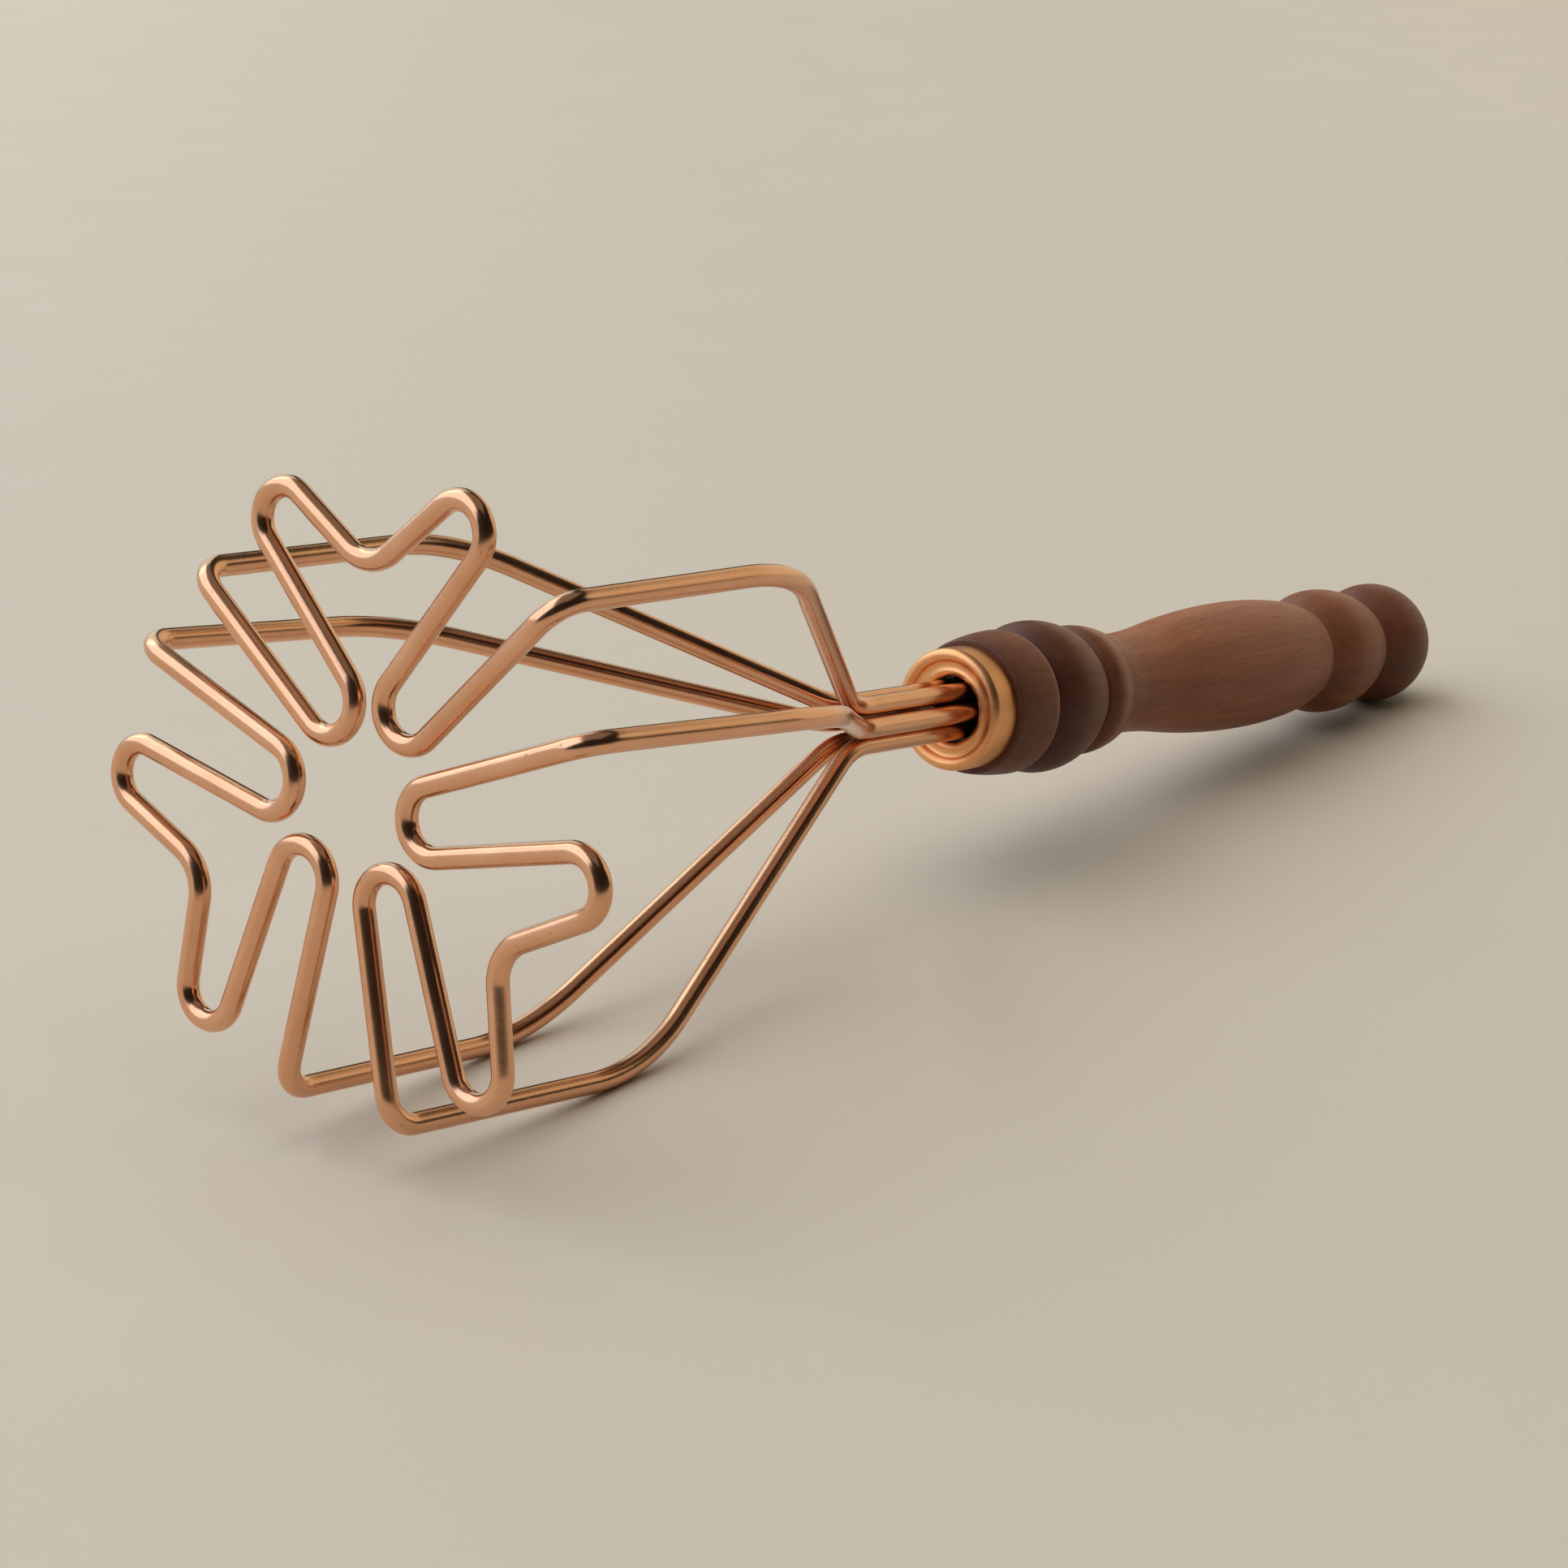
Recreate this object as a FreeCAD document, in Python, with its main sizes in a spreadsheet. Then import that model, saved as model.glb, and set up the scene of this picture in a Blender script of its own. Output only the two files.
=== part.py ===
import FreeCAD, Part
import math
import os
import Sketcher
from FreeCAD import Placement, Rotation, Vector

# Pastry blender: three loops of round wire on a turned wooden handle with a copper ferrule.
# Millimetres. The tool is built along its own axis (+X from the wire face to the handle knob,
# x = 0 in the plane of the wire face), then laid down on a table: +Z up, with the origin on
# the table under the middle of the lying tool.

os.makedirs("parts", exist_ok=True)
doc = FreeCAD.newDocument("pastry_blender")
sheet = doc.addObject("Spreadsheet::Sheet", "sizes")

SIZES = {
    # wire loop in its own sector: "out" points away from the axis, "side" lies across
    "wire_dia": 2.9,
    "corner_out": 26.15,
    "corner_side": 30.28,
    "corner_bend": 4.22,
    "inner_out": 11.55,
    "inner_side": 6.83,
    "inner_bend": 4.41,
    "lobe_out": 33.36,
    "lobe_side": 14.45,
    "lobe_bend": 4.14,
    "notch_out": 29.28,
    "notch_bend": 5.9,
    # legs from the face back to the neck bundle
    "knee_x": 46.36,
    "knee_out": 27.97,
    "knee_side": 29.92,
    "knee_bend": 30.5,
    "neck_x": 97.92,
    "neck_bend": 11.46,
    "bundle_rad": 3.2,
    "wire_end_x": 152.0,
    "sector_start": -3.47,
    "sector_step": 120.0,
    # how each loop is set by hand: turn and tilts in degrees, shifts in millimetres
    "upper_turn": -2.29,
    "upper_nod": 1.14,
    "upper_yaw": 0.46,
    "upper_along": 0.86,
    "upper_across": 0.72,
    "upper_out": -0.15,
    "right_turn": 0.01,
    "right_nod": 0.42,
    "right_yaw": 0.21,
    "right_along": -0.31,
    "right_across": 0.23,
    "right_out": -0.35,
    "left_turn": 2.69,
    "left_nod": -0.02,
    "left_yaw": 0.47,
    "left_along": -0.9,
    "left_across": 0.75,
    "left_out": 0.4,
    "set_pivot_x": 50.0,
    # ferrule
    "rim_x": 122.9,
    "rim_rad": 8.05,
    "rim_bend": 1.0,
    "rim_in_bend": 1.1,
    "band_x": 123.9,
    "band_rad": 9.1,
    "dish_x": 123.75,
    "dish_out_rad": 7.15,
    "dish_in_rad": 5.8,
    "dish_bend": 1.2,
    "mouth_x": 124.35,
    "mouth_rad": 4.9,
    "mouth_bend": 1.0,
    "tenon_x": 124.7,
    "tenon_rad": 8.2,
    # turned handle, front to back: place and radius of every crest and groove
    "shoulder_x": 128.2,
    "shoulder_edge_rad": 9.7,
    "shoulder_back_x": 128.6,
    "shoulder_rad": 10.08,
    "bead_one_x": 135.88,
    "bead_one_rad": 10.84,
    "groove_one_x": 138.5,
    "groove_one_rad": 8.4,
    "bead_two_x": 144.41,
    "bead_two_rad": 11.54,
    "groove_two_x": 153.14,
    "groove_two_rad": 8.41,
    "bead_three_x": 155.1,
    "bead_three_rad": 9.96,
    "waist_front_x": 160.5,
    "waist_front_rad": 8.87,
    "waist_x": 165.91,
    "waist_rad": 7.77,
    "waist_back_x": 177.37,
    "waist_back_rad": 8.6,
    "grip_x": 200.65,
    "grip_rad": 10.28,
    "grip_end_x": 214.21,
    "grip_end_rad": 9.45,
    "groove_three_x": 221.15,
    "groove_three_rad": 7.68,
    "bead_four_x": 227.92,
    "bead_four_rad": 10.29,
    "groove_four_x": 238.85,
    "groove_four_rad": 7.25,
    "knob_end_x": 255.76,
    "knob_end_rad": 1.0,
    # turned handle: radius of the curve between those places
    "shoulder_curve": 45.3,
    "bead_one_back": 2.63,
    "bead_two_front": 7.13,
    "bead_two_back": 13.74,
    "bead_three_front": 2.01,
    "bead_three_back": 13.86,
    "waist_front_curve": 13.9,
    "waist_back_curve": 79.8,
    "grip_front": 161.9,
    "grip_back": 111.2,
    "grip_shoulder": 28.2,
    "bead_four_front": 10.08,
    "bead_four_back": 21.17,
    "knob_rad": 10.03,
    # clamp inside the handle
    "socket_rad": 5.6,
    "socket_end_x": 160.0,
    "sleeve_start_x": 127.0,
    "slip": 0.02,
    "core_start_x": 118.0,
    # lying pose
    "axis_droop": 8.41,
}
for row, (alias, value) in enumerate(SIZES.items(), start=1):
    sheet.set(f"A{row}", alias)
    sheet.set(f"B{row}", str(value))
    sheet.setAlias(f"B{row}", alias)
doc.recompute()


def size(alias):
    return float(sheet.get(alias))


LYING = Placement(Vector(0, 0, 0), Rotation(Vector(0, 1, 0), size("axis_droop")))


# ---------------------------------------------------------------- path helpers
def tangent_points(centre_a, rad_a, turn_a, centre_b, rad_b, turn_b):
    """Ends of the straight run from circle a to circle b; turn is +1 left, -1 right, 0 point."""
    span = centre_b - centre_a
    heading = math.atan2(span.y, span.x)
    lean = math.acos((turn_b * rad_b - turn_a * rad_a) / span.Length)
    normal = Vector(math.cos(heading + lean), math.sin(heading + lean), 0)
    return centre_a - normal * (turn_a * rad_a), centre_b - normal * (turn_b * rad_b)


def arc_middle(centre, radius, start, end, turn):
    """Middle of the arc that leaves start and reaches end turning left (+1) or right (-1)."""
    first = math.atan2(start.y - centre.y, start.x - centre.x)
    last = math.atan2(end.y - centre.y, end.x - centre.x)
    sweep = (turn * (last - first)) % (2 * math.pi)
    middle = first + turn * sweep / 2
    return centre + Vector(math.cos(middle), math.sin(middle), 0) * radius


def rounded_corner(before, corner, after, radius):
    """Start, middle and end of the arc that rounds the corner between two straight runs."""
    back = (before - corner).normalize()
    ahead = (after - corner).normalize()
    half_angle = back.getAngle(ahead) / 2
    centre_way = (back + ahead).normalize()
    setback = radius / math.tan(half_angle)
    middle = corner + centre_way * (radius / math.sin(half_angle) - radius)
    return corner + back * setback, middle, corner + ahead * setback


def face_half():
    """Arcs of one half of the face pattern, from the inner bend to the notch (out, side)."""
    corner = Vector(size("corner_out"), size("corner_side"), 0)
    inner = Vector(size("inner_out"), size("inner_side"), 0)
    lobe = Vector(size("lobe_out"), size("lobe_side"), 0)
    notch_bend = size("notch_bend")
    notch = Vector(size("notch_out") + notch_bend, 0, 0)
    inner_bend = size("inner_bend")
    lobe_bend = size("lobe_bend")
    inner_start = tangent_points(corner, 0, 0, inner, inner_bend, 1)[1]
    inner_end, lobe_start = tangent_points(inner, inner_bend, 1, lobe, lobe_bend, -1)
    lobe_end, notch_start = tangent_points(lobe, lobe_bend, -1, notch, notch_bend, 1)
    notch_end = Vector(size("notch_out"), 0, 0)
    inner_middle = arc_middle(inner, inner_bend, inner_start, inner_end, 1)
    lobe_middle = arc_middle(lobe, lobe_bend, lobe_start, lobe_end, -1)
    return {
        "inner": (inner_start, inner_middle, inner_end),
        "lobe": (lobe_start, lobe_middle, lobe_end),
        "notch": (notch_start, notch_end),
    }


def loop_edges(prefix, number):
    """Centre line of one wire, from one end in the handle round the face to the other end."""
    sector = size("sector_start") + number * size("sector_step")
    in_sector = Rotation(Vector(1, 0, 0), sector)
    tilt = Rotation(Vector(0, 0, 1), size(f"{prefix}_yaw"))
    tilt = tilt * Rotation(Vector(0, 1, 0), size(f"{prefix}_nod"))
    tilt = tilt * Rotation(Vector(1, 0, 0), size(f"{prefix}_turn"))
    pivot = Vector(size("set_pivot_x"), 0, 0)
    shift = Vector(size(f"{prefix}_along"), -size(f"{prefix}_across"), size(f"{prefix}_out"))

    def set_point(out, side, along):
        local = tilt.multVec(Vector(along, -side, out) - pivot) + pivot + shift
        return in_sector.multVec(local)

    def bundle_point(hand, along):
        radius = size("bundle_rad")
        side = hand * radius * math.sin(math.radians(30))
        out = radius * math.cos(math.radians(30))
        return in_sector.multVec(Vector(along, -side, out))

    arcs = face_half()
    stations = []
    for hand in (1, -1):
        end = bundle_point(hand, size("wire_end_x"))
        neck = bundle_point(hand, size("neck_x"))
        knee = set_point(size("knee_out"), hand * size("knee_side"), size("knee_x"))
        corner = set_point(size("corner_out"), hand * size("corner_side"), 0)
        inner = [set_point(p.x, hand * p.y, 0) for p in arcs["inner"]]
        lobe = [set_point(p.x, hand * p.y, 0) for p in arcs["lobe"]]
        half = [
            (end,),
            rounded_corner(end, neck, knee, size("neck_bend")),
            rounded_corner(neck, knee, corner, size("knee_bend")),
            rounded_corner(knee, corner, inner[0], size("corner_bend")),
            inner,
            lobe,
        ]
        stations.append(half)
    notch_start, notch_middle = arcs["notch"]
    notch = [
        set_point(notch_start.x, notch_start.y, 0),
        set_point(notch_middle.x, 0, 0),
        set_point(notch_start.x, -notch_start.y, 0),
    ]
    mirrored = [tuple(reversed(station)) for station in reversed(stations[1])]
    chain = stations[0] + [notch] + mirrored

    edges = []
    for here, following in zip(chain[:-1], chain[1:]):
        if len(here) == 3:
            edges.append(Part.Arc(*here).toShape())
        edges.append(Part.makeLine(here[-1], following[0]))
    return edges


# ---------------------------------------------------------------- sketch helpers
def half_section(body, name):
    """Sketch on the plane through the axis: x runs along the tool, y is the radius."""
    sketch = body.newObject("Sketcher::SketchObject", name)
    plane = [f for f in body.Origin.OriginFeatures if f.Role == "XZ_Plane"][0]
    sketch.AttachmentSupport = [(plane, "")]
    sketch.MapMode = "FlatFace"
    return sketch


def arc_through(start, end, bend):
    """Arc of radius |bend|, bulging left of the travel when bend is positive, right if not."""
    chord = end - start
    left = Vector(-chord.y, chord.x, 0).normalize() * math.copysign(1, bend)
    drop = math.sqrt(bend * bend - chord.Length ** 2 / 4)
    middle = (start + end) / 2 + left * (abs(bend) - drop)
    return Part.Arc(start, middle, end)


def bind(sketch, kind, geometry, point, expression):
    """Distance of a point from the origin, or the radius of an arc, held to a sheet value."""
    if kind == "Radius":
        rule = Sketcher.Constraint(kind, geometry, sketch.Geometry[geometry].Radius)
    else:
        spot = sketch.getPoint(geometry, point)
        value = spot.x if kind == "DistanceX" else spot.y
        rule = Sketcher.Constraint(kind, -1, 1, geometry, point, value)
    index = sketch.addConstraint(rule)
    sketch.setExpression(f"Constraints[{index}]", expression)


def place_of(along, radius):
    return Vector(size(along), size(radius) if radius else 0, 0)


def draw_outline(sketch, stations):
    """Closed outline through (along, radius, bend, side); radius None is on the axis."""
    joints = []
    previous = stations[-1]
    for station in stations:
        start = place_of(previous[0], previous[1])
        end = place_of(station[0], station[1])
        if station[2] is None:
            geometry = sketch.addGeometry(Part.LineSegment(start, end), False)
        else:
            bend = size(station[2]) * station[3]
            geometry = sketch.addGeometry(arc_through(start, end, bend), False)
        forward = sketch.getPoint(geometry, 2).distanceToPoint(end) < 1e-6
        last = 2 if forward else 1
        joints.append((geometry, 3 - last, last))
        bind(sketch, "DistanceX", geometry, last, f"sizes.{station[0]}")
        if station[1] is None:
            sketch.addConstraint(Sketcher.Constraint("PointOnObject", geometry, last, -1))
        else:
            bind(sketch, "DistanceY", geometry, last, f"sizes.{station[1]}")
        if station[2] is not None:
            bind(sketch, "Radius", geometry, 0, f"sizes.{station[2]}")
        previous = station
    for (here, _, end), (following, start, _) in zip(joints, joints[1:] + joints[:1]):
        sketch.addConstraint(Sketcher.Constraint("Coincident", here, end, following, start))


def turned_body(label, stations):
    body = doc.addObject("PartDesign::Body", f"{label}_body")
    body.Label = label
    outline = half_section(body, f"{label}_outline")
    draw_outline(outline, stations)
    turned = body.newObject("PartDesign::Revolution", f"{label}_turned")
    turned.Profile = outline
    turned.ReferenceAxis = (outline, ["H_Axis"])
    turned.Angle = 360
    body.Tip = turned
    return body


# ---------------------------------------------------------------- wire loops
pieces = []
for number, prefix in enumerate(("upper", "right", "left")):
    path = doc.addObject("Part::Feature", f"{prefix}_path")
    path.Shape = Part.Wire(loop_edges(prefix, number))
    path.Placement = LYING
    ring = doc.addObject("Part::Circle", f"{prefix}_section")
    ring.setExpression("Radius", "sizes.wire_dia / 2")
    start = path.Shape.Edges[0].firstVertex().Point
    ring.Placement = Placement(start, LYING.Rotation * Rotation(Vector(0, 1, 0), -90))
    loop = doc.addObject("Part::Sweep", f"{prefix}_sweep")
    loop.Label = f"wire_loop_{prefix}"
    loop.Sections = [ring]
    loop.Spine = (path, [f"Edge{n}" for n in range(1, len(path.Shape.Edges) + 1)])
    loop.Solid = True
    loop.Frenet = False
    pieces.append(loop)

# ---------------------------------------------------------------- turned pieces
ferrule = turned_body("ferrule", [
    ("shoulder_x", "band_rad", None, 0),
    ("band_x", "band_rad", None, 0),
    ("rim_x", "rim_rad", "rim_bend", -1),
    ("dish_x", "dish_out_rad", "rim_in_bend", -1),
    ("dish_x", "dish_in_rad", "dish_bend", 1),
    ("mouth_x", "mouth_rad", "mouth_bend", -1),
    ("tenon_x", "mouth_rad", None, 0),
    ("tenon_x", "tenon_rad", None, 0),
    ("shoulder_x", "tenon_rad", None, 0),
])
handle = turned_body("handle", [
    ("tenon_x", "tenon_rad", None, 0),
    ("shoulder_x", "tenon_rad", None, 0),
    ("shoulder_x", "shoulder_edge_rad", None, 0),
    ("shoulder_back_x", "shoulder_rad", None, 0),
    ("bead_one_x", "bead_one_rad", "shoulder_curve", 1),
    ("groove_one_x", "groove_one_rad", "bead_one_back", 1),
    ("bead_two_x", "bead_two_rad", "bead_two_front", 1),
    ("groove_two_x", "groove_two_rad", "bead_two_back", 1),
    ("bead_three_x", "bead_three_rad", "bead_three_front", 1),
    ("waist_front_x", "waist_front_rad", "bead_three_back", 1),
    ("waist_x", "waist_rad", "waist_front_curve", -1),
    ("waist_back_x", "waist_back_rad", "waist_back_curve", -1),
    ("grip_x", "grip_rad", "grip_front", 1),
    ("grip_end_x", "grip_end_rad", "grip_back", 1),
    ("groove_three_x", "groove_three_rad", "grip_shoulder", 1),
    ("bead_four_x", "bead_four_rad", "bead_four_front", 1),
    ("groove_four_x", "groove_four_rad", "bead_four_back", 1),
    ("knob_end_x", "knob_end_rad", "knob_rad", 1),
    ("knob_end_x", None, None, 0),
    ("tenon_x", None, None, 0),
])
socket = half_section(handle, "socket_outline")
draw_outline(socket, [
    ("tenon_x", None, None, 0),
    ("tenon_x", "socket_rad", None, 0),
    ("socket_end_x", "socket_rad", None, 0),
    ("socket_end_x", None, None, 0),
])
bore = handle.newObject("PartDesign::Groove", "socket_bore")
bore.Profile = socket
bore.ReferenceAxis = (socket, ["H_Axis"])
bore.Angle = 360
handle.Tip = bore

# ---------------------------------------------------------------- clamp inside the handle
sleeve = doc.addObject("PartDesign::Body", "sleeve_body")
sleeve.Label = "clamp_sleeve"
wall = half_section(sleeve, "sleeve_outline")
sheet.set("A200", "sleeve_bore")
sheet.set("B200", "=bundle_rad + wire_dia / 2 + slip")
sheet.setAlias("B200", "sleeve_bore")
sheet.set("A201", "core_rad")
sheet.set("B201", "=bundle_rad - wire_dia / 2 - slip")
sheet.setAlias("B201", "core_rad")
doc.recompute()
draw_outline(wall, [
    ("sleeve_start_x", "sleeve_bore", None, 0),
    ("sleeve_start_x", "socket_rad", None, 0),
    ("wire_end_x", "socket_rad", None, 0),
    ("wire_end_x", "sleeve_bore", None, 0),
])
tube = sleeve.newObject("PartDesign::Revolution", "sleeve_turned")
tube.Profile = wall
tube.ReferenceAxis = (wall, ["H_Axis"])
tube.Angle = 360
sleeve.Tip = tube

core = doc.addObject("Part::Cylinder", "core_pin")
core.setExpression("Radius", "sizes.core_rad")
core.setExpression("Height", "sizes.wire_end_x - sizes.core_start_x")
core.Placement = Placement(Vector(size("core_start_x"), 0, 0), Rotation(Vector(0, 1, 0), 90))
plug = doc.addObject("Part::Cylinder", "adhesive_plug")
plug.setExpression("Radius", "sizes.socket_rad")
plug.setExpression("Height", "sizes.socket_end_x - sizes.wire_end_x")
plug.Placement = Placement(Vector(size("wire_end_x"), 0, 0), Rotation(Vector(0, 1, 0), 90))
for piece in (ferrule, handle, sleeve, core, plug):
    piece.Placement = LYING * piece.Placement
    pieces.append(piece)
doc.recompute()

# ---------------------------------------------------------------- set the origin and write
whole = Part.makeCompound([piece.Shape for piece in pieces]).optimalBoundingBox(False)
shift = Placement(Vector(-whole.Center.x, -whole.Center.y, -whole.ZMin), Rotation())
for item in doc.Objects:
    if item.TypeId in ("Part::Feature", "Part::Circle") or item in (ferrule, handle, sleeve):
        item.Placement = shift * item.Placement
for item in (core, plug):
    item.Placement = shift * item.Placement
doc.recompute()

for item in doc.Objects:
    faults = [state for state in item.State if state in ("Invalid", "Error")]
    if faults:
        raise RuntimeError(f"{item.Label} is {faults}")
for piece in pieces:
    if piece.Shape.isNull() or not piece.Shape.isValid():
        raise RuntimeError(f"{piece.Label} has no valid shape")
    piece.Shape.exportStep(f"parts/{piece.Label}.step")
    print(piece.Label, round(piece.Shape.Volume, 1), len(piece.Shape.Solids))
print("shift", shift.Base, "size", whole.XLength, whole.YLength, whole.ZLength)
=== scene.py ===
import math

import bpy
from mathutils import Matrix, Vector


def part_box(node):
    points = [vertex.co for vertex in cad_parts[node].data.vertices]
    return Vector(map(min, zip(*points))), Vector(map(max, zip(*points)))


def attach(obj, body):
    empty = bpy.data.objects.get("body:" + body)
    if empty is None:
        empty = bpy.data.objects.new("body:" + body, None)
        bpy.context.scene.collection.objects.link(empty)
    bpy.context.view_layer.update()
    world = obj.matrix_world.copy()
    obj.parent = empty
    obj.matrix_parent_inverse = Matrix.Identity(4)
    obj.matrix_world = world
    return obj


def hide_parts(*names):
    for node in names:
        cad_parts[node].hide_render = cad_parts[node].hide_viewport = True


# Pastry blender lying on a pale table: satin copper wires, a spun copper ferrule and a turned
# walnut handle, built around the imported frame. Sizes are in millimetres, with +X along the tool's
# own axis from the wire face to the knob, until lay() turns them into the frame's metres.

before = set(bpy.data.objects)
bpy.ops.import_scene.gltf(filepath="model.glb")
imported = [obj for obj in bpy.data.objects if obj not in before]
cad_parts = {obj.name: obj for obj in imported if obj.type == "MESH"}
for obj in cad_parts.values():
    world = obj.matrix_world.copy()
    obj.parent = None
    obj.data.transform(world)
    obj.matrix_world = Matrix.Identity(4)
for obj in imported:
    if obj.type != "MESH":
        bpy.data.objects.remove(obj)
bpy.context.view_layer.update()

# ------------------------------------------------------------------ the tool's own sizes
# Half of a wire loop in its own sector. CORNER is where two straight runs would meet, and INNER
# and LOBE are the centres of bends, all as (out from the axis, to the side). NOTCH_OUT is how far
# out the bottom of the notch lies. Each BEND is the radius there.
WIRE_RAD = 1.45
CORNER, CORNER_BEND = (26.15, 30.28), 4.22
INNER, INNER_BEND = (11.55, 6.83), 4.41
LOBE, LOBE_BEND = (33.36, 14.45), 4.14
NOTCH_OUT, NOTCH_BEND = 29.28, 5.9
# The legs behind the face. KNEE is where two straight runs would meet, as (along, out, side).
KNEE, KNEE_BEND = (46.36, 27.97, 29.92), 30.5
NECK_X, NECK_BEND = 97.92, 11.46
BUNDLE_RAD, WIRE_END_X = 3.2, 152.0
SECTOR_START, SECTOR_STEP = -3.47, 120.0
# How each loop is set by hand: degrees, and a shift (along, across, outward) in millimetres.
SET_PIVOT_X = 50.0
LOOPS = {
    "upper": {"turn": -2.29, "nod": 1.14, "yaw": 0.46, "shift": (0.86, 0.72, -0.15)},
    "right": {"turn": 0.01, "nod": 0.42, "yaw": 0.21, "shift": (-0.31, 0.23, -0.35)},
    "left": {"turn": 2.69, "nod": -0.02, "yaw": 0.47, "shift": (-0.9, 0.75, 0.4)},
}
# The joint of ferrule and handle, and the knob.
TENON_X, TENON_RAD = 124.7, 8.2
SHOULDER_X, SOCKET_RAD = 128.2, 5.6
BAND_RAD, MOUTH_RAD = 9.1, 4.9
KNOB_X, KNOB_RAD, KNOB_END_X = 245.781, 10.03, 255.76
# Outlines: (place along the axis, radius, radius of the curve that leads to it; 0 is straight).
HANDLE = [
    # tenon and shoulder
    (TENON_X, SOCKET_RAD, 0), (TENON_X, TENON_RAD, 0), (SHOULDER_X, TENON_RAD, 0),
    (SHOULDER_X, 9.7, 0), (128.6, 10.08, 0.4),
    # first bead and the groove behind it
    (135.88, 10.84, 45.3), (138.5, 8.4, 2.63),
    # second bead and groove
    (144.41, 11.54, 7.13), (153.14, 8.41, 13.74),
    # third bead, running down into the waist
    (155.1, 9.96, 2.01), (160.5, 8.87, 13.86), (165.91, 7.77, -13.9),
    # long grip
    (177.37, 8.6, -79.8), (200.65, 10.28, 161.9), (214.21, 9.45, 111.2), (221.15, 7.68, 28.2),
    # fourth bead and groove
    (227.92, 10.29, 10.08), (238.85, 7.25, 21.17),
    # end knob
    (KNOB_END_X, 1.0, KNOB_RAD), (KNOB_END_X, 0.0, 0),
]
FERRULE = [
    # band over the tenon, with a rounded rim
    (SHOULDER_X, TENON_RAD, 0), (SHOULDER_X, BAND_RAD, 0), (123.9, BAND_RAD, 0),
    (122.9, 8.05, -1.05), (123.75, 7.15, -1.1),
    # dish and the rounded lip of the mouth
    (123.75, 5.8, 1.2), (124.35, MOUTH_RAD, -1.0), (TENON_X, MOUTH_RAD, 0),
    # back along the front and the side of the tenon
    (TENON_X, TENON_RAD, 0), (SHOULDER_X, TENON_RAD, 0),
]
# The lying tool's axis slopes down to the knob by this many degrees.
DROOP = 8.41

# ------------------------------------------------------------------ how fine the meshes are
# Corners in each ring, and roughly how many millimetres apart the rings are.
WIRE_SIDES, CAP_SIDES, WOOD_SIDES = 36, 144, 160
FACE_STEP, LEG_STEP, RUN_STEP = 0.35, 0.4, 1.2
CAP_STEP, WOOD_STEP = 0.12, 0.25
POLE_RAD = 0.02


def rotation(degrees, axis):
    return Matrix.Rotation(math.radians(degrees), 3, axis)


# The lying pose: the droop of the axis, then the shift that puts the knob, the handle's farthest
# and lowest end, at the ends of the frame's own box of the handle.
droop = rotation(DROOP, "Y")
handle_low, handle_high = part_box("handle")
knob_centre = droop @ Vector((KNOB_X, 0, 0))
shift = Vector((
    handle_high.x * 1000 - KNOB_RAD - knob_centre.x,
    (handle_low.y + handle_high.y) * 500,
    handle_low.z * 1000 + KNOB_RAD - knob_centre.z,
))


def lay(point):
    """A point of the tool's own axes, in millimetres, as a point of the frame in metres."""
    return (droop @ Vector(point) + shift) / 1000


# ------------------------------------------------------------------ wire paths
def tangent_points(centre_a, rad_a, turn_a, centre_b, rad_b, turn_b):
    """Ends of the straight run from circle a to circle b; turn is 1 left, -1 right."""
    span = centre_b - centre_a
    heading = math.atan2(span.y, span.x)
    lean = math.acos((turn_b * rad_b - turn_a * rad_a) / span.length)
    normal = Vector((math.cos(heading + lean), math.sin(heading + lean)))
    return centre_a - normal * (turn_a * rad_a), centre_b - normal * (turn_b * rad_b)


def flat_arc(centre, radius, start, end, turn):
    """Points of a bend in the face, from start to end; turn is 1 left, -1 right."""
    first = math.atan2(start.y - centre.y, start.x - centre.x)
    last = math.atan2(end.y - centre.y, end.x - centre.x)
    sweep = (turn * (last - first)) % (2 * math.pi)
    steps = max(3, int(sweep * radius / FACE_STEP))
    angles = [first + turn * sweep * i / steps for i in range(steps + 1)]
    return [centre + Vector((math.cos(a), math.sin(a))) * radius for a in angles]


def round_corner(before, corner, after, radius):
    """Points of the bend that rounds a corner between two straight runs."""
    back = (before - corner).normalized()
    ahead = (after - corner).normalized()
    half = back.angle(ahead) / 2
    centre = corner + (back + ahead).normalized() * (radius / math.sin(half))
    setback = radius / math.tan(half)
    start, end = corner + back * setback, corner + ahead * setback
    arm_a, arm_b = start - centre, end - centre
    sweep = arm_a.angle(arm_b)
    steps = max(4, int(sweep * radius / LEG_STEP))
    arc = []
    for i in range(steps + 1):
        t = i / steps
        mix = arm_a * math.sin((1 - t) * sweep) + arm_b * math.sin(t * sweep)
        arc.append(centre + mix / math.sin(sweep))
    return arc


def face_half():
    """One half of the loop's face: in to the centre, out round the lobe, in to the notch."""
    corner, inner, lobe = Vector(CORNER), Vector(INNER), Vector(LOBE)
    notch = Vector((NOTCH_OUT + NOTCH_BEND, 0))
    inner_in = tangent_points(corner, 0, 0, inner, INNER_BEND, 1)[1]
    inner_out, lobe_in = tangent_points(inner, INNER_BEND, 1, lobe, LOBE_BEND, -1)
    lobe_out, notch_in = tangent_points(lobe, LOBE_BEND, -1, notch, NOTCH_BEND, 1)
    points = flat_arc(inner, INNER_BEND, inner_in, inner_out, 1)
    points += flat_arc(lobe, LOBE_BEND, lobe_in, lobe_out, -1)
    points += flat_arc(notch, NOTCH_BEND, notch_in, Vector((NOTCH_OUT, 0)), 1)
    return points


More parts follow.
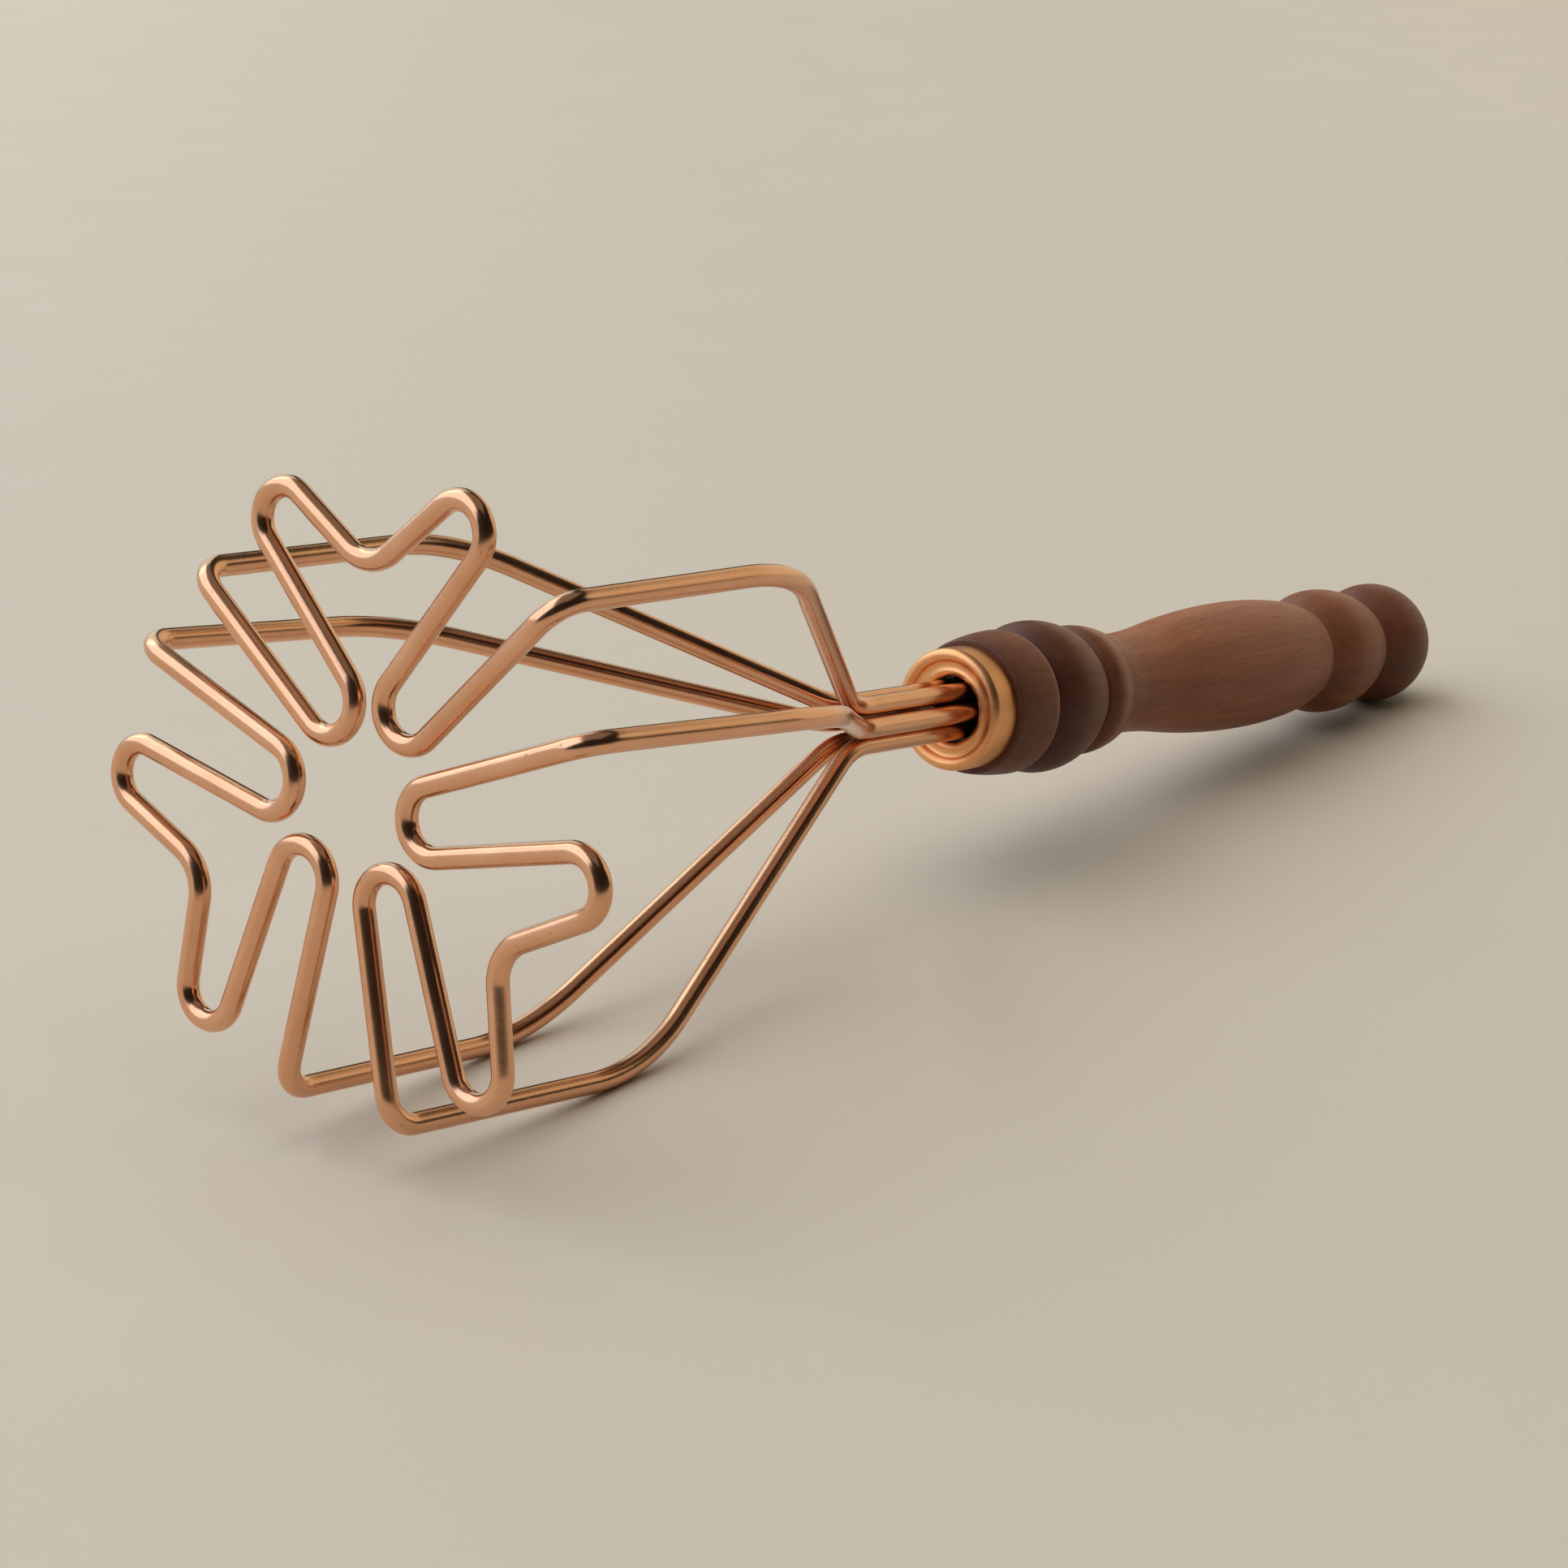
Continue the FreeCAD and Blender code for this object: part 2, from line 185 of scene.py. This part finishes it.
def loop_path(number, setting):
    """Centre line of one wire, from one end in the handle round its face to the other end."""
    in_sector = rotation(SECTOR_START + number * SECTOR_STEP, "X")
    tilt = rotation(setting["yaw"], "Z") @ rotation(setting["nod"], "Y")
    tilt = tilt @ rotation(setting["turn"], "X")
    pivot = Vector((SET_PIVOT_X, 0, 0))
    along, across, outward = setting["shift"]

    def set_point(out, side, x=0.0):
        local = tilt @ (Vector((x, -side, out)) - pivot) + pivot
        return in_sector @ (local + Vector((along, -across, outward)))

    halves = []
    for hand in (1, -1):
        bundle = Vector((0, -hand * BUNDLE_RAD * 0.5, BUNDLE_RAD * math.sqrt(0.75)))
        end = in_sector @ (bundle + Vector((WIRE_END_X, 0, 0)))
        neck = in_sector @ (bundle + Vector((NECK_X, 0, 0)))
        knee = set_point(KNEE[1], hand * KNEE[2], KNEE[0])
        corner = set_point(CORNER[0], hand * CORNER[1])
        face = [set_point(p.x, hand * p.y) for p in face_half()]
        half = [end]
        half += round_corner(end, neck, knee, NECK_BEND)
        half += round_corner(neck, knee, corner, KNEE_BEND)
        half += round_corner(knee, corner, face[0], CORNER_BEND)
        halves.append(half + face)
    raw = halves[0] + halves[1][-2::-1]
    path = [raw[0]]
    for a, b in zip(raw[:-1], raw[1:]):
        steps = max(1, int((b - a).length / RUN_STEP))
        path += [a.lerp(b, (i + 1) / steps) for i in range(steps)]
    return path


def add_vectors(mesh, label, values):
    """Store one vector for each vertex, for the textures to read."""
    layer = mesh.attributes.new(label, "FLOAT_VECTOR", "POINT")
    layer.data.foreach_set("vector", [c for v in values for c in v])


def new_mesh(name, vertices, faces, label, values):
    mesh = bpy.data.meshes.new(name)
    mesh.from_pydata(vertices, [], faces)
    add_vectors(mesh, label, values)
    mesh.polygons.foreach_set("use_smooth", [True] * len(mesh.polygons))
    mesh.update()
    piece = bpy.data.objects.new(name, mesh)
    bpy.context.scene.collection.objects.link(piece)
    return piece


def sweep_wire(name, path):
    """Round wire along the path. straight_co is the place on the wire as if it were straight."""
    vertices, straight = [], []
    tangent = (path[1] - path[0]).normalized()
    side = tangent.orthogonal().normalized()
    run = 0.0
    for i, point in enumerate(path):
        ahead = path[min(i + 1, len(path) - 1)]
        behind = path[max(i - 1, 0)]
        turned = (ahead - behind).normalized()
        side = (side - turned * side.dot(turned)).normalized()
        up = turned.cross(side)
        run += (point - behind).length if i else 0.0
        for j in range(WIRE_SIDES):
            angle = 2 * math.pi * j / WIRE_SIDES
            arm = side * math.cos(angle) + up * math.sin(angle)
            vertices.append(lay(point + arm * WIRE_RAD))
            straight.append((run, math.cos(angle) * WIRE_RAD, math.sin(angle) * WIRE_RAD))
    faces = []
    for i in range(len(path) - 1):
        a, b = i * WIRE_SIDES, (i + 1) * WIRE_SIDES
        for j in range(WIRE_SIDES):
            k = (j + 1) % WIRE_SIDES
            faces.append((a + j, a + k, b + k, b + j))
    last = (len(path) - 1) * WIRE_SIDES
    faces.append(tuple(range(WIRE_SIDES - 1, -1, -1)))
    faces.append(tuple(last + j for j in range(WIRE_SIDES)))
    return new_mesh(name, vertices, faces, "straight_co", straight)


# ------------------------------------------------------------------ turned pieces
def outline_points(stations, step):
    """The outline as points. An arc bulges to the left of the way along it, or right below 0."""
    points = [Vector(stations[0][:2])]
    for (x0, r0, _), (x1, r1, bend) in zip(stations[:-1], stations[1:]):
        start, end = Vector((x0, r0)), Vector((x1, r1))
        chord = end - start
        if bend == 0:
            steps = max(1, int(chord.length / (2 * step)))
            points += [start.lerp(end, (i + 1) / steps) for i in range(steps)]
            continue
        radius = abs(bend)
        left = Vector((-chord.y, chord.x)).normalized() * math.copysign(1, bend)
        drop = math.sqrt(max(0.0, radius ** 2 - chord.length ** 2 / 4))
        centre = (start + end) / 2 - left * drop
        sweep = 2 * math.asin(min(1.0, chord.length / 2 / radius))
        steps = max(3, int(sweep * radius / step))
        turn = -math.copysign(1, bend)
        arm = start - centre
        for i in range(1, steps + 1):
            a = turn * sweep * i / steps
            spun = Vector((arm.x * math.cos(a) - arm.y * math.sin(a),
                           arm.x * math.sin(a) + arm.y * math.cos(a)))
            points.append(centre + spun)
    return points


def lathe(name, points, sides, closed=False):
    """Revolve the outline. turned_co keeps (along, y, z) of the tool's own axis, in mm."""
    vertices, own = [], []
    for p in points:
        for j in range(sides):
            angle = 2 * math.pi * j / sides
            local = (p.x, p.y * math.cos(angle), p.y * math.sin(angle))
            vertices.append(lay(local))
            own.append(local)
    faces = []
    rows = len(points)
    for i in range(rows if closed else rows - 1):
        a, b = i * sides, ((i + 1) % rows) * sides
        for j in range(sides):
            k = (j + 1) % sides
            faces.append((a + j, b + j, b + k, a + k))
    return new_mesh(name, vertices, faces, "turned_co", own)


# ------------------------------------------------------------------ materials
class Nodes:
    """Shorthand for building a material's node tree."""

    def __init__(self, name):
        self.material = bpy.data.materials.new(name)
        self.material.use_nodes = True
        self.tree = self.material.node_tree
        self.shader = self.tree.nodes["Principled BSDF"]

    def add(self, kind, **values):
        node = self.tree.nodes.new(kind)
        for key, value in values.items():
            setattr(node, key, value)
        return node

    def link(self, source, target):
        self.tree.links.new(source, target)

    def coordinates(self, attribute, scale):
        source = self.add("ShaderNodeAttribute", attribute_name=attribute)
        mapping = self.add("ShaderNodeMapping")
        mapping.inputs["Scale"].default_value = scale
        self.link(source.outputs["Vector"], mapping.inputs["Vector"])
        return mapping.outputs["Vector"]

    def noise(self, vector, scale=1.0, detail=4.0, rough=0.55, distortion=0.0):
        node = self.add("ShaderNodeTexNoise")
        node.inputs["Scale"].default_value = scale
        node.inputs["Detail"].default_value = detail
        node.inputs["Roughness"].default_value = rough
        node.inputs["Distortion"].default_value = distortion
        self.link(vector, node.inputs["Vector"])
        return node.outputs["Fac"]

    def spread(self, value, low, high, to_low=0.0, to_high=1.0):
        node = self.add("ShaderNodeMapRange")
        for key, number in zip(("From Min", "From Max", "To Min", "To Max"),
                               (low, high, to_low, to_high)):
            node.inputs[key].default_value = number
        self.link(value, node.inputs["Value"])
        return node.outputs["Result"]

    def ramp(self, value, stops):
        node = self.add("ShaderNodeValToRGB")
        elements = node.color_ramp.elements
        while len(elements) < len(stops):
            elements.new(0.5)
        for element, (position, colour) in zip(elements, stops):
            element.position = position
            element.color = (*colour, 1.0)
        self.link(value, node.inputs["Fac"])
        return node.outputs["Color"]

    def mix(self, factor, tone, colour):
        """Blend a plain colour into the tone. Inputs 6 and 7 and output 2 are the colour ones."""
        node = self.add("ShaderNodeMix", data_type="RGBA")
        self.link(factor, node.inputs[0])
        self.link(tone, node.inputs[6])
        node.inputs[7].default_value = (*colour, 1.0)
        return node.outputs[2]

    def math(self, operation, a, b):
        node = self.add("ShaderNodeMath", operation=operation)
        for socket, value in zip(node.inputs, (a, b)):
            if isinstance(value, (int, float)):
                socket.default_value = value
            else:
                self.link(value, socket)
        return node.outputs[0]

    def bump(self, height, strength, distance, before=None):
        node = self.add("ShaderNodeBump")
        node.inputs["Strength"].default_value = strength
        node.inputs["Distance"].default_value = distance
        self.link(height, node.inputs["Height"])
        if before is not None:
            self.link(before, node.inputs["Normal"])
        return node.outputs["Normal"]

    def finish(self, **sockets):
        names = {"color": "Base Color", "rough": "Roughness", "normal": "Normal",
                 "metallic": "Metallic", "specular": "Specular IOR Level"}
        for key, value in sockets.items():
            socket = self.shader.inputs[names[key]]
            if isinstance(value, (int, float)):
                socket.default_value = value
            else:
                self.link(value, socket)
        return self.material


def copper_wire():
    """Copper plate over drawn wire: long die lines, soft patches of tarnish, small pits."""
    m = Nodes("copper_wire")
    lines = m.noise(m.coordinates("straight_co", (0.02, 2.6, 2.6)), 1.0, 5.0, 0.6)
    fine = m.noise(m.coordinates("straight_co", (0.12, 9.0, 9.0)), 1.0, 3.0, 0.6)
    patches = m.noise(m.coordinates("straight_co", (0.11, 0.25, 0.25)), 1.0, 4.0, 0.55)
    grain = m.noise(m.coordinates("straight_co", (5.0, 5.0, 5.0)), 1.0, 2.0, 0.5)
    pits = m.noise(m.coordinates("straight_co", (1.3, 1.3, 1.3)), 1.0, 2.0, 0.4)
    tone = m.ramp(patches, [(0.3, (0.74, 0.385, 0.215)), (0.55, (0.80, 0.435, 0.255)),
                            (0.75, (0.85, 0.485, 0.30))])
    line_mask = m.spread(lines, 0.38, 0.62)
    tone = m.mix(m.math("MULTIPLY", line_mask, 0.22), tone, (0.66, 0.32, 0.165))
    speck = m.spread(pits, 0.73, 0.78)
    tone = m.mix(m.math("MULTIPLY", speck, 0.5), tone, (0.28, 0.13, 0.07))
    rough = m.spread(patches, 0.3, 0.7, 0.185, 0.235)
    rough = m.math("ADD", rough, m.spread(grain, 0.3, 0.7, -0.02, 0.025))
    height = m.math("ADD", m.math("MULTIPLY", fine, 0.5), m.math("MULTIPLY", grain, 0.5))
    normal = m.bump(height, 0.055, 0.00004)
    normal = m.bump(pits, 0.03, 0.0002, normal)
    return m.finish(color=tone, rough=rough, metallic=1.0, normal=normal)


def copper_ferrule():
    """Spun copper: rings round the axis, more orange than the wire."""
    m = Nodes("copper_ferrule")
    rings = m.noise(m.coordinates("turned_co", (7.0, 0.25, 0.25)), 1.0, 4.0, 0.6)
    patches = m.noise(m.coordinates("turned_co", (0.3, 0.3, 0.3)), 1.0, 4.0, 0.55)
    fine = m.noise(m.coordinates("turned_co", (4.0, 4.0, 4.0)), 1.0, 2.0, 0.5)
    tone = m.ramp(patches, [(0.3, (0.82, 0.39, 0.165)), (0.7, (0.90, 0.465, 0.210))])
    tone = m.mix(m.math("MULTIPLY", m.spread(rings, 0.4, 0.7), 0.25), tone,
                 (0.70, 0.31, 0.12))
    rough = m.spread(patches, 0.3, 0.7, 0.36, 0.43)
    normal = m.bump(rings, 0.12, 0.00008)
    normal = m.bump(fine, 0.06, 0.00005, normal)
    return m.finish(color=tone, rough=rough, metallic=1.0, normal=normal)


def walnut():
    """Oiled walnut: straight lengthwise fibres and pores, painted shade in the beads, lighter edges
    from rubbing and a painted highlight.
    """
    m = Nodes("walnut")
    broad = m.noise(m.coordinates("turned_co", (0.025, 0.30, 0.30)), 1.0, 3.0, 0.5, 0.4)
    streaks = m.noise(m.coordinates("turned_co", (0.05, 1.3, 1.3)), 1.0, 4.0, 0.6, 0.3)
    pores = m.noise(m.coordinates("turned_co", (0.16, 3.4, 3.4)), 1.0, 4.0, 0.65)
    fibres = m.noise(m.coordinates("turned_co", (0.35, 8.0, 8.0)), 1.0, 3.0, 0.6)
    fuzz = m.noise(m.coordinates("turned_co", (3.0, 3.0, 3.0)), 1.0, 3.0, 0.6)
    tone = m.ramp(broad, [(0.3, (0.225, 0.076, 0.033)), (0.5, (0.290, 0.100, 0.044)),
                          (0.7, (0.350, 0.127, 0.057))])
    tone = m.mix(m.spread(streaks, 0.35, 0.65, 0.0, 0.45), tone, (0.180, 0.056, 0.025))
    dark = m.spread(pores, 0.56, 0.72)
    tone = m.mix(m.math("MULTIPLY", dark, 0.55), tone, (0.075, 0.024, 0.011))
    tone = m.mix(m.spread(fibres, 0.35, 0.7, 0.0, 0.22), tone, (0.40, 0.165, 0.080))
    zone = m.add("ShaderNodeAttribute", attribute_name="wood_zone")
    split = m.add("ShaderNodeSeparateXYZ")
    m.link(zone.outputs["Vector"], split.inputs[0])
    painted_bead_shade, edge_rub_and_highlight = split.outputs[0], split.outputs[1]
    # Painted shade: the beads and their grooves are darkened towards a dark brown.
    tone = m.mix(m.math("MULTIPLY", painted_bead_shade, 0.74), tone, (0.042, 0.013, 0.008))
    # Rubbed wear with a painted highlight: the ridges are lightened.
    tone = m.mix(m.math("MULTIPLY", edge_rub_and_highlight, 0.55), tone, (0.44, 0.190, 0.105))
    rough = m.spread(pores, 0.3, 0.7, 0.40, 0.54)
    height = m.math("ADD", m.math("MULTIPLY", pores, -0.6), m.math("MULTIPLY", fuzz, 0.3))
    normal = m.bump(height, 0.22, 0.00012)
    return m.finish(color=tone, rough=rough, normal=normal, specular=0.30)


def hidden_metal():
    """Drawn steel of the clamp sleeve and the core pin, out of sight in the handle."""
    m = Nodes("plain_steel")
    brushed = m.noise(m.add("ShaderNodeTexCoord").outputs["Object"], 900.0, 3.0, 0.6)
    tone = m.ramp(brushed, [(0.3, (0.42, 0.42, 0.43)), (0.7, (0.62, 0.62, 0.63))])
    rough = m.spread(brushed, 0.3, 0.7, 0.28, 0.45)
    return m.finish(color=tone, rough=rough, metallic=1.0, normal=m.bump(brushed, 0.1, 0.0001))


def cured_epoxy():
    """Cloudy amber adhesive behind the wire ends."""
    m = Nodes("cured_epoxy")
    cloud = m.noise(m.add("ShaderNodeTexCoord").outputs["Object"], 400.0, 4.0, 0.6)
    tone = m.ramp(cloud, [(0.3, (0.50, 0.38, 0.17)), (0.7, (0.68, 0.56, 0.30))])
    rough = m.spread(cloud, 0.3, 0.7, 0.2, 0.4)
    return m.finish(color=tone, rough=rough, normal=m.bump(cloud, 0.1, 0.0002))


def table_top():
    """Painted board: very fine orange-peel grain and a faint mottle."""
    m = Nodes("table_top")
    place = m.add("ShaderNodeTexCoord").outputs["Object"]
    mottle = m.noise(place, 6.0, 3.0, 0.5)
    grain = m.noise(place, 900.0, 3.0, 0.6)
    coarse = m.noise(place, 260.0, 2.0, 0.5)
    tone = m.ramp(mottle, [(0.3, (0.640, 0.555, 0.442)), (0.7, (0.672, 0.583, 0.466))])
    height = m.math("ADD", grain, m.math("MULTIPLY", coarse, 0.6))
    normal = m.bump(height, 0.40, 0.00014)
    return m.finish(color=tone, rough=m.spread(coarse, 0.3, 0.7, 0.56, 0.68),
                    normal=normal, specular=0.3)


# ------------------------------------------------------------------ painted shade, wear and painted highlight of the wood
# Painted shade darkens the beads and their grooves: (start, end, darkness at the start, darkness at
# the end).
BEAD_SHADE_SPANS = (
    (128.0, 138.5, 1.0, 0.55), (138.5, 153.1, 1.25, 0.55), (153.1, 160.5, 0.85, 0.35),
    (160.5, 172.0, 0.35, 0.0), (219.0, 228.0, 0.75, 0.20), (228.0, 238.9, 0.30, 0.20),
    (238.9, 256.0, 0.85, 0.65),
)
# It is lighter on edges, partly rubbed wear and partly a painted highlight: (place, half width).
RIDGE_RUB_AND_HIGHLIGHT = ((137.2, 0.7), (151.9, 0.8), (219.6, 1.4), (237.0, 1.3), (157.0, 1.2))


def wood_zone(x):
    """How much painted shade, and how much rubbed wear with painted highlight, the finish has at one
    place along the handle.
    """
    dark = 0.0
    for start, end, near, far in BEAD_SHADE_SPANS:
        if start <= x <= end:
            dark = near + (far - near) * (x - start) / (end - start)
    light = max(math.exp(-((x - c) / w) ** 2) for c, w in RIDGE_RUB_AND_HIGHLIGHT)
    # The painted shade, then the rubbed wear with its painted highlight.
    return dark, light, 0.0


# ------------------------------------------------------------------ build the pieces
wire_material = copper_wire()
ferrule_material = copper_ferrule()
wood_material = walnut()

for number, (prefix, setting) in enumerate(LOOPS.items()):
    piece = sweep_wire(f"wire_{prefix}", loop_path(number, setting))
    piece.data.materials.append(wire_material)
    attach(piece, "root")
    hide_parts(f"wire_loop_{prefix}")

# The outline ends where it starts, so its last point is left out and the mesh closes on itself.
cap = lathe("ferrule_cap", outline_points(FERRULE, CAP_STEP)[:-1], CAP_SIDES, closed=True)
cap.data.materials.append(ferrule_material)
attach(cap, "root")
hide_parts("ferrule")

# The last ring is a pinhole at the knob's pole, so that no face there shrinks to a line.
wood_points = outline_points(HANDLE, WOOD_STEP)
wood_points[-1] = Vector((KNOB_END_X, POLE_RAD))
wood = lathe("turned_handle", wood_points, WOOD_SIDES)
# Painted shade of the beads, and the edges' wear with a painted highlight, stored for the wood's
# material.
add_vectors(wood.data, "wood_zone", [wood_zone(p.x) for p in wood_points for _ in range(WOOD_SIDES)])
wood.data.materials.append(wood_material)
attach(wood, "root")
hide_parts("handle")

# The hidden pieces keep the frame's own meshes.
steel, epoxy = hidden_metal(), cured_epoxy()
for node, material in (("clamp_sleeve", steel), ("core_pin", steel), ("adhesive_plug", epoxy)):
    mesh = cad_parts[node].data
    mesh.materials.clear()
    mesh.materials.append(material)

# ------------------------------------------------------------------ table, light, camera
# From here on, places and sizes are in metres.
TABLE_AT, TABLE_SIDE = (0.15, 0.2, 0.0), 9.0
bpy.ops.mesh.primitive_plane_add(size=1.0, location=TABLE_AT)
table = bpy.context.object
table.name = "table"
table.scale = (TABLE_SIDE, TABLE_SIDE, 1.0)
table.data.materials.append(table_top())

CAMERA_AT = Vector((-0.44689, -0.32925, 0.20407))
CAMERA_LOOK = Vector((0.73708, 0.59464, -0.32111))
CAMERA_RIGHT = Vector((0.62755, -0.77858, 0.0))
camera_data = bpy.data.cameras.new("camera")
camera_data.sensor_width = 36.0
camera_data.lens = 90.74
camera_data.clip_start = 0.01
camera = bpy.data.objects.new("camera", camera_data)
bpy.context.scene.collection.objects.link(camera)
look = CAMERA_LOOK.normalized()
right = CAMERA_RIGHT.normalized()
up = right.cross(look)
camera.matrix_world = Matrix((
    (right.x, up.x, -look.x, CAMERA_AT.x),
    (right.y, up.y, -look.y, CAMERA_AT.y),
    (right.z, up.z, -look.z, CAMERA_AT.z),
    (0, 0, 0, 1),
))
bpy.context.scene.camera = camera

LIGHT_REACH = 2.6
level_look = Vector((look.x, look.y, 0)).normalized()


def soft_box(name, azimuth, elevation, spread, radiance, colour, glossy=True):
    """A rectangular light aimed at the origin. Its direction, and the width and height it spans
    from there, are in degrees. Azimuth runs right from the camera's line of sight."""
    turn, rise = math.radians(azimuth), math.radians(elevation)
    aim = level_look * math.cos(turn) * math.cos(rise) + right * math.sin(turn) * math.cos(rise)
    aim.z = math.sin(rise)
    data = bpy.data.lights.new(name, "AREA")
    data.shape = "RECTANGLE"
    data.size, data.size_y = (2 * LIGHT_REACH * math.tan(math.radians(a / 2)) for a in spread)
    data.energy = math.pi * radiance * data.size * data.size_y
    data.color = colour
    lamp = bpy.data.objects.new(name, data)
    bpy.context.scene.collection.objects.link(lamp)
    lamp.location = aim * LIGHT_REACH
    lamp.rotation_euler = (-aim).to_track_quat("-Z", "Y").to_euler()
    lamp.visible_glossy = glossy


soft_box("window", -90, 44, (78, 54), 1.60, (0.92, 1.0, 1.15))
soft_box("sill", -90, 8, (78, 14), 0.65, (1.0, 1.0, 0.95))
soft_box("far_wall", -32, 30, (46, 50), 1.00, (0.82, 1.0, 1.02))
soft_box("right_wall", 42, 18, (70, 36), 0.68, (1.12, 1.0, 0.72))
soft_box("ceiling", 0, 88, (60, 60), 0.20, (1.1, 1.0, 0.9))
# This one lights matt surfaces only: it isn't seen in reflections.
soft_box("ceiling_fill", 0, 88, (60, 60), 2.05, (1.03, 1.0, 0.96), glossy=False)

world = bpy.data.worlds.new("studio")
bpy.context.scene.world = world
world.use_nodes = True
background = world.node_tree.nodes["Background"]
background.inputs["Color"].default_value = (1.0, 0.9, 0.8, 1.0)
background.inputs["Strength"].default_value = 0.02

bpy.context.scene.view_settings.view_transform = "Standard"
bpy.context.scene.view_settings.look = "None"
